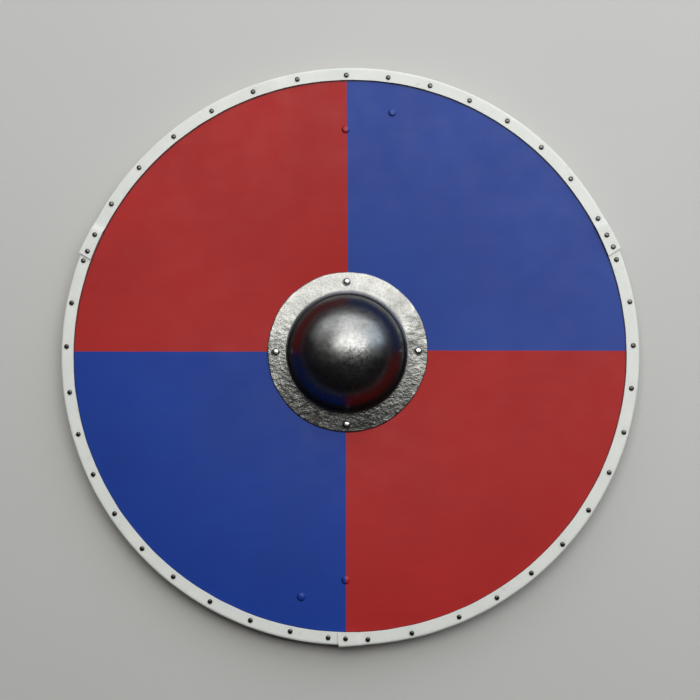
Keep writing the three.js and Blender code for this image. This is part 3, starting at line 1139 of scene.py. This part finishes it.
def makeRivet(rivet, side, kind, hasRove, frontFinish):
    size, shape = rivetShapes, rivetShapes[kind]
    node = rivet + "-" + side
    low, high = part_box(node)
    middle = nodeMiddle(node)
    head, shank = shape["head"], size["shank"]
    seat = high.z - shape["headHeight"]
    tailSeat = low.z + size["tailHeight"]
    rings = tailRings(tailSeat, low.z)
    if hasRove:
        rings.append((shape["rove"], tailSeat))
        tailSeat += size["roveThickness"]
        rings.append((shape["rove"], tailSeat))
    sunkTo = seat - size["sunk"]
    rings += [(shank, tailSeat + hair), (shank, sunkTo), (head * size["neck"], sunkTo + hair)]
    for across, up in size["profile"]:
        rings.append((head * across, seat + shape["headHeight"] * up))
    stackRings(size["sides"], rings, middle.x, middle.y)
    piece = nameIt(rivet + "-head-" + side)
    edit()
    pick("VERT", lambda v: v.co.z > seat + near)
    groupPicked("head")
    done()
    pressIn(cloudy("rivet dents", size["dentSize"]), size["dents"], vertex_group="head")
    smoothBy(50)
    piece.data.materials.append(frontFinish)
    giveSecondFinish(tailSteel, lambda f: f.calc_center_median().z < boardMiddle)
    handOver(piece, node)


for side in ("top", "bottom"):
    makeRivet("boss-rivet", side, "boss", False, rivetSteel)
    makeRivet("bar-rivet", side, "board", False, rivetPaint)
    makeRivet("side-rivet", side, "board", True, rivetPaint)
for side in ("left", "right"):
    makeRivet("boss-rivet", side, "boss", True, rivetSteel)
print("rivets made")


# Tacks: one is made, and each other is a copy of it, put in its place and turned a little.

tackShape = {
    "head": 3.2 * mm,
    "headHeight": 1.4 * mm,
    "profile": ((0.97, 0.36), (0.86, 0.71), (0.64, 0.9), (0.36, 0.97), (0.1, 1.0)),
    "foot": ((0.9, 1.0), (1.0, 0.6)),  # pairs of (across, down)
    "sunk": 0.75 * mm,
    "sides": 24,
    "shank": 1.8 * mm,
    "point": 0.5,
    "turn": (0, 90),
    "size": (0.95, 1.0),
}


def firstTack():
    shape = tackShape
    head, sunk, half = shape["head"], shape["sunk"], shape["shank"] / 2
    spot = tackPlace(tackNodes[0])
    seat = spot.z - shape["headHeight"]
    rings = [(head * across, seat - sunk * down) for across, down in shape["foot"]]
    for across, up in shape["profile"]:
        rings.append((head * across, seat + shape["headHeight"] * up))
    stackRings(shape["sides"], rings, spot.x, spot.y)
    smoothBy(50)
    piece = nameIt("tack-head-01")
    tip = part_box(tackNodes[0])[0].z
    addBlock((spot.x - half, spot.y - half, tip), (spot.x + half, spot.y + half, seat))
    shank = bpy.context.object
    edit()
    pick("VERT", lambda v: v.co.z < tip + near)
    widen(shape["point"], (spot.x, spot.y, tip))
    done()
    combine(piece, shank, "UNION")
    piece.data.materials.append(blackIron)
    return piece


def makeTacks():
    first = firstTack()
    start = tackPlace(tackNodes[0])
    rng = random.Random(11)
    handOver(first, tackNodes[0])
    for node in tackNodes[1:]:
        chooseOnly(first)
        bpy.ops.object.duplicate()
        piece = nameIt("tack-head-" + node[-2:])
        turn = math.radians(rng.uniform(*tackShape["turn"]))
        size = rng.uniform(*tackShape["size"])
        edit()
        pickAll()
        bpy.ops.transform.rotate(value=turn, orient_axis="Z", center_override=start)
        widen(size, start)
        bpy.ops.transform.translate(value=tackPlace(node) - start)
        done()
        handOver(piece, node)


makeTacks()
print("tacks made")


# Grip bar.

barShape = {
    "stationEvery": 10 * mm,
    "edgeRound": 3 * mm,
    "roundSegments": 4,
    # the front edges are rounder at the grip and crisper beyond it
    "gripRound": 7 * mm,
    "otherRound": 1.5 * mm,
    "gripFrom": 68 * mm,
    "gripTo": 52 * mm,
    # the waist for the hand
    "waistFrom": 100 * mm,
    "waistTo": 60 * mm,
    "waistWidth": 33 * mm,
    # the back, cut away towards the ends
    "taperFrom": 120 * mm,
    "taperTo": 260 * mm,
    "endDepth": 12 * mm,
    "endRound": 4 * mm,
    "recessRadius": 6.5 * mm,
    "recessDepth": 3 * mm,
    "recessSides": 48,
}


def shareBetween(value, start, end):
    return min(max((value - start) / (end - start), 0), 1)


def easeBetween(value, start, end):
    share = shareBetween(value, start, end)
    return share * share * (3 - 2 * share)


def roundFront(y, low, high):
    # the two front edges at this place along the bar
    shape = barShape
    edge, other = shape["edgeRound"], shape["otherRound"]
    grip = 1 - easeBetween(abs(y), shape["gripTo"], shape["gripFrom"])
    share = (other + (shape["gripRound"] - other) * grip) / edge
    for side in (low.x, high.x):
        isHere = lambda v: abs(v.co.y - y) < hair and abs(v.co.x - side) < edge + hair
        pick("VERT", lambda v: isHere(v) and v.co.z > high.z - edge - hair)
        bpy.ops.transform.resize(value=(share, 1, share), center_override=(side, y, high.z))


def thinBar(y, low, high):
    # how narrow and how shallow it is at this place along the bar
    shape = barShape
    width, depth = high.x - low.x, high.z - low.z
    waist = 1 - easeBetween(abs(y), shape["waistTo"], shape["waistFrom"])
    narrow = 1 + (shape["waistWidth"] / width - 1) * waist
    taper = shareBetween(abs(y), shape["taperFrom"], shape["taperTo"])
    shallow = 1 + (shape["endDepth"] / depth - 1) * taper
    if narrow < 1 or shallow < 1:
        about = ((low.x + high.x) / 2, y, high.z)
        pick("VERT", lambda v: abs(v.co.y - y) < hair)
        bpy.ops.transform.resize(value=(narrow, 1, shallow), center_override=about)


def makeBar():
    shape = barShape
    low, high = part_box("grip-bar")
    halfLength, middleY = (high.y - low.y) / 2, (low.y + high.y) / 2
    addBlock(low, high)
    edit()
    pick("EDGE", lambda e: abs(e.verts[0].co.y - e.verts[1].co.y) > halfLength)
    bpy.ops.mesh.bevel(offset=shape["edgeRound"], segments=shape["roundSegments"])
    steps = round(halfLength / shape["stationEvery"])
    stations = [i * shape["stationEvery"] for i in range(-steps, steps + 1)]
    for y in stations[1:-1]:
        pickAll()
        bpy.ops.mesh.bisect(plane_co=(0, y, 0), plane_no=(0, 1, 0))
    for y in stations:
        roundFront(y, low, high)
    for y in stations:
        thinBar(y, low, high)
    pick("EDGE", lambda e: all(abs(v.co.y - middleY) > halfLength - hair for v in e.verts))
    bpy.ops.mesh.bevel(offset=shape["endRound"], segments=shape["roundSegments"])
    tidyNormals()
    done()
    piece = nameIt("wooden-grip-bar")
    # recesses in the back for the tails of two of the boss rivets
    for side in ("top", "bottom"):
        spot = nodeMiddle("boss-rivet-" + side)
        leaveAll()
        bpy.ops.mesh.primitive_cylinder_add(
            vertices=shape["recessSides"],
            radius=shape["recessRadius"],
            depth=2 * shape["recessDepth"],
            location=(spot.x, spot.y, low.z),
        )
        combine(piece, bpy.context.object, "DIFFERENCE")
    chooseOnly(piece)
    smoothBy(30)
    piece.data.materials.append(ash)
    handOver(piece, "grip-bar")


makeBar()
print("bar made")


# Floor, light and camera.

stageLook = {
    "floorSize": 1.5,
    "floor": tint(198, 197, 194),
    "floorNoise": (3, 2),
    "floorShade": (0.3, 0.7, 0.97, 1.0),
    "floorRoughness": 0.8,
    "world": (0.02, 0.02, 0.021, 1),
}

# Soft panels over and behind the shield's top: place, size, what they face, turn, glow, colour.
panels = {
    "overhead": ((1.0, 1.98, 3.6), (4.4, 3.3), (1.0, 1.98, 0), -10, 2.25, (1, 1, 0.99)),
    "near": ((0.6, 1.05, 3.5), (3.5, 1.6), (0.6, 1.05, 0), -11, 2.4, (1, 1, 0.97)),
    "behind": ((1.05, 3.6, 2.3), (4.5, 2.6), (1.05, 0, 2.3), 0, 1.75, (0.98, 1, 1.03)),
    "far left": ((-2.25, 3.6, 2.22), (2.1, 2.75), (-2.25, 0, 2.22), 0, 1.3, (0.98, 1, 1.03)),
    "right": ((3.3, 2.4, 1.95), (2.9, 3.0), (0, 2.4, 1.95), 0, 1.45, (0.8, 0.93, 1.08)),
    "left": ((-3.3, 2.65, 2.05), (2.1, 2.8), (0, 2.65, 2.05), 0, 0.55, (0.97, 1, 1.03)),
}

cameraLook = {
    "distance": 1.5928,
    "tilt": 5.13,
    "towards": -57.6,
    "lens": 64.94,
    "sensor": 36,
    "centreZ": 31 * mm,
    "aim": (3.5 * mm, 1.8 * mm),
}


def makeFloor():
    look = stageLook
    leaveAll()
    bpy.ops.mesh.primitive_plane_add(size=look["floorSize"], location=(0, 0, 0))
    floor = nameIt("floor")
    m = newFinish("pale floor")
    grey = remap(m, noise(m, *look["floorNoise"]), *look["floorShade"])
    colour = shadeBy(m, look["floor"], grey)
    shaderTakes(m, Base_Color=colour, Roughness=look["floorRoughness"])
    floor.data.materials.append(m)


def softPanel(name, spot, size, aim, turn, glow, colour):
    leaveAll()
    bpy.ops.object.light_add(type="AREA", location=spot)
    lamp = bpy.context.object
    lamp.name = name
    lamp.data.shape = "RECTANGLE"
    lamp.data.size, lamp.data.size_y = size
    lamp.data.energy = glow * math.pi * size[0] * size[1]
    lamp.data.color = colour
    facing = (Vector(aim) - Vector(spot)).to_track_quat("-Z", "Y").to_matrix()
    lamp.rotation_euler = (Matrix.Rotation(math.radians(turn), 3, "Z") @ facing).to_euler()
    lamp.visible_camera = False


def placeCamera():
    look = cameraLook
    tilt, towards = math.radians(look["tilt"]), math.radians(look["towards"])
    level = math.sin(tilt)
    out = Vector((level * math.cos(towards), level * math.sin(towards), math.cos(tilt)))
    centre = Vector((0, 0, look["centreZ"]))
    position = centre + out * look["distance"]
    aim = centre + Vector((*look["aim"], 0))
    leaveAll()
    bpy.ops.object.camera_add(location=position)
    camera = bpy.context.object
    forward = (aim - position).normalized()
    right = forward.cross(Vector((0, 1, 0))).normalized()
    up = right.cross(forward)
    camera.rotation_mode = "QUATERNION"
    camera.rotation_quaternion = Matrix((right, up, -forward)).transposed().to_quaternion()
    camera.data.lens = look["lens"]
    camera.data.sensor_width = look["sensor"]
    bpy.context.scene.camera = camera


makeFloor()
for name, panel in panels.items():
    softPanel(name, *panel)
world = bpy.data.worlds.new("studio")
bpy.context.scene.world = world
world.use_nodes = True
world.node_tree.nodes["Background"].inputs["Color"].default_value = stageLook["world"]
placeCamera()
bpy.context.scene.view_settings.view_transform = "Standard"
print("stage, light and camera set")
